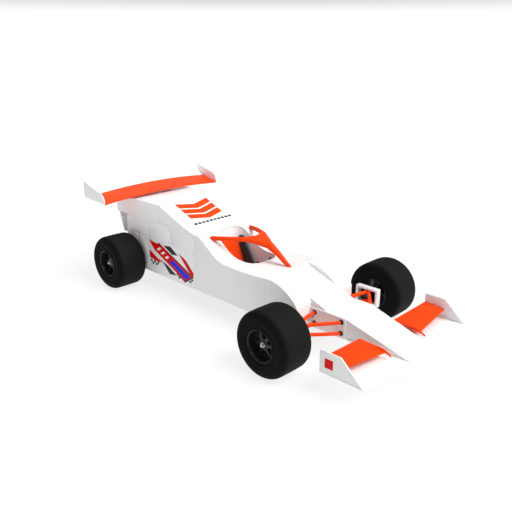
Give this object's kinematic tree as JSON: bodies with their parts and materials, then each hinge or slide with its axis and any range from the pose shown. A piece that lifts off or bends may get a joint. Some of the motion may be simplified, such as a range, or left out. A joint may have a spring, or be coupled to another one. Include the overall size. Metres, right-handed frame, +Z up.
{
  "type": "open wheel racing car",
  "caption": "Single-seat open wheel racing car with a halo, arched rear wing, full-width front wing, turning wheels and working steering.",
  "frame": {"origin": "on the ground, midway along the car's length and width", "axes": "+X forward, +Y to the car's left, +Z up"},
  "size_m": [4.075, 2, 1.278],
  "materials": {
    "white_paint": "gloss white paint on composite panels",
    "inner_white": "satin pale grey-white",
    "orange_paint": "gloss orange-red paint",
    "dark_composite": "matt black composite",
    "seat_fabric": "black woven cover",
    "dark_metal": "dark machined metal",
    "cast_grey": "grey castings",
    "red_lens": "red moulded lens",
    "tyre_rubber": "smooth black slick rubber",
    "black_rim": "gloss black alloy"
  },
  "bodies": {
    "chassis": {"floor_pan": "dark_composite", "mid_side_left": "white_paint", "mid_side_right": "white_paint", "cockpit_deck": "white_paint", "cockpit_tub": "inner_white", "front_cowl": "white_paint", "hood": "white_paint", "suspension_box": "white_paint", "nose_cone": "white_paint", "splitter": "white_paint", "front_wing_left": "orange_paint", "front_wing_right": "orange_paint", "front_end_plates": "white_paint", "engine_cover": "white_paint", "rear_side_left": "white_paint", "rear_side_right": "white_paint", "tail_frame": "inner_white", "rear_light": "red_lens", "rear_wing_main": "orange_paint", "rear_wing_flap": "white_paint", "rear_end_plates": "white_paint", "rear_wing_pylons": "white_paint", "halo": "orange_paint", "seat_shell": "orange_paint", "seat_bolsters": "seat_fabric", "seat_cushion": "seat_fabric", "front_arms": "orange_paint", "arm_bushes": "dark_composite", "rear_axle": "dark_metal", "gearbox": "cast_grey", "engine_block": "cast_grey"},
    "steering_wheel": {"steering_wheel": "dark_composite"},
    "rack": {"steering_rack": "dark_metal"},
    "knuckle_left": {"upright_left": "white_paint", "hub_carrier_left": "dark_metal"},
    "knuckle_right": {"upright_right": "white_paint", "hub_carrier_right": "dark_metal"},
    "wheel_front_left": {"tyre_front_left": "tyre_rubber", "rim_front_left": "black_rim"},
    "wheel_front_right": {"tyre_front_right": "tyre_rubber", "rim_front_right": "black_rim"},
    "wheel_rear_left": {"tyre_rear_left": "tyre_rubber", "rim_rear_left": "black_rim"},
    "wheel_rear_right": {"tyre_rear_right": "tyre_rubber", "rim_rear_right": "black_rim"}
  },
  "joints": [
    {"name": "steering_turn", "type": "hinge", "parent": "chassis", "child": "steering_wheel", "pos_m": [0.032, 0, 0.544], "axis": [-0.9679, 0, 0.2512], "range_deg": [-120, 120]},
    {"name": "rack_slide", "type": "slide", "parent": "chassis", "child": "rack", "axis": [0, 1, 0], "range_m": [-0.02194, 0.02194]},
    {"name": "front_left_steer", "type": "hinge", "parent": "chassis", "child": "knuckle_left", "pos_m": [0.951, 0.568, 0.306], "axis": [0, 0, 1], "range_deg": [-18, 18]},
    {"name": "front_right_steer", "type": "hinge", "parent": "chassis", "child": "knuckle_right", "pos_m": [0.951, -0.568, 0.306], "axis": [0, 0, 1], "range_deg": [-18, 18]},
    {"name": "front_left_spin", "type": "hinge", "parent": "knuckle_left", "child": "wheel_front_left", "pos_m": [0.951, 0.818, 0.306], "axis": [0, 1, 0], "continuous": true},
    {"name": "front_right_spin", "type": "hinge", "parent": "knuckle_right", "child": "wheel_front_right", "pos_m": [0.951, -0.818, 0.306], "axis": [0, 1, 0], "continuous": true},
    {"name": "rear_left_spin", "type": "hinge", "parent": "chassis", "child": "wheel_rear_left", "pos_m": [-1.711, 0.613, 0.306], "axis": [0, 1, 0], "continuous": true},
    {"name": "rear_right_spin", "type": "hinge", "parent": "chassis", "child": "wheel_rear_right", "pos_m": [-1.711, -0.613, 0.306], "axis": [0, 1, 0], "continuous": true}
  ],
  "couplings": [
    {"joint": "front_left_steer", "follows": "steering_turn", "ratio": 0.15},
    {"joint": "front_right_steer", "follows": "steering_turn", "ratio": 0.15},
    {"joint": "rack_slide", "follows": "steering_turn", "m_per_rad": -0.010475}
  ]
}
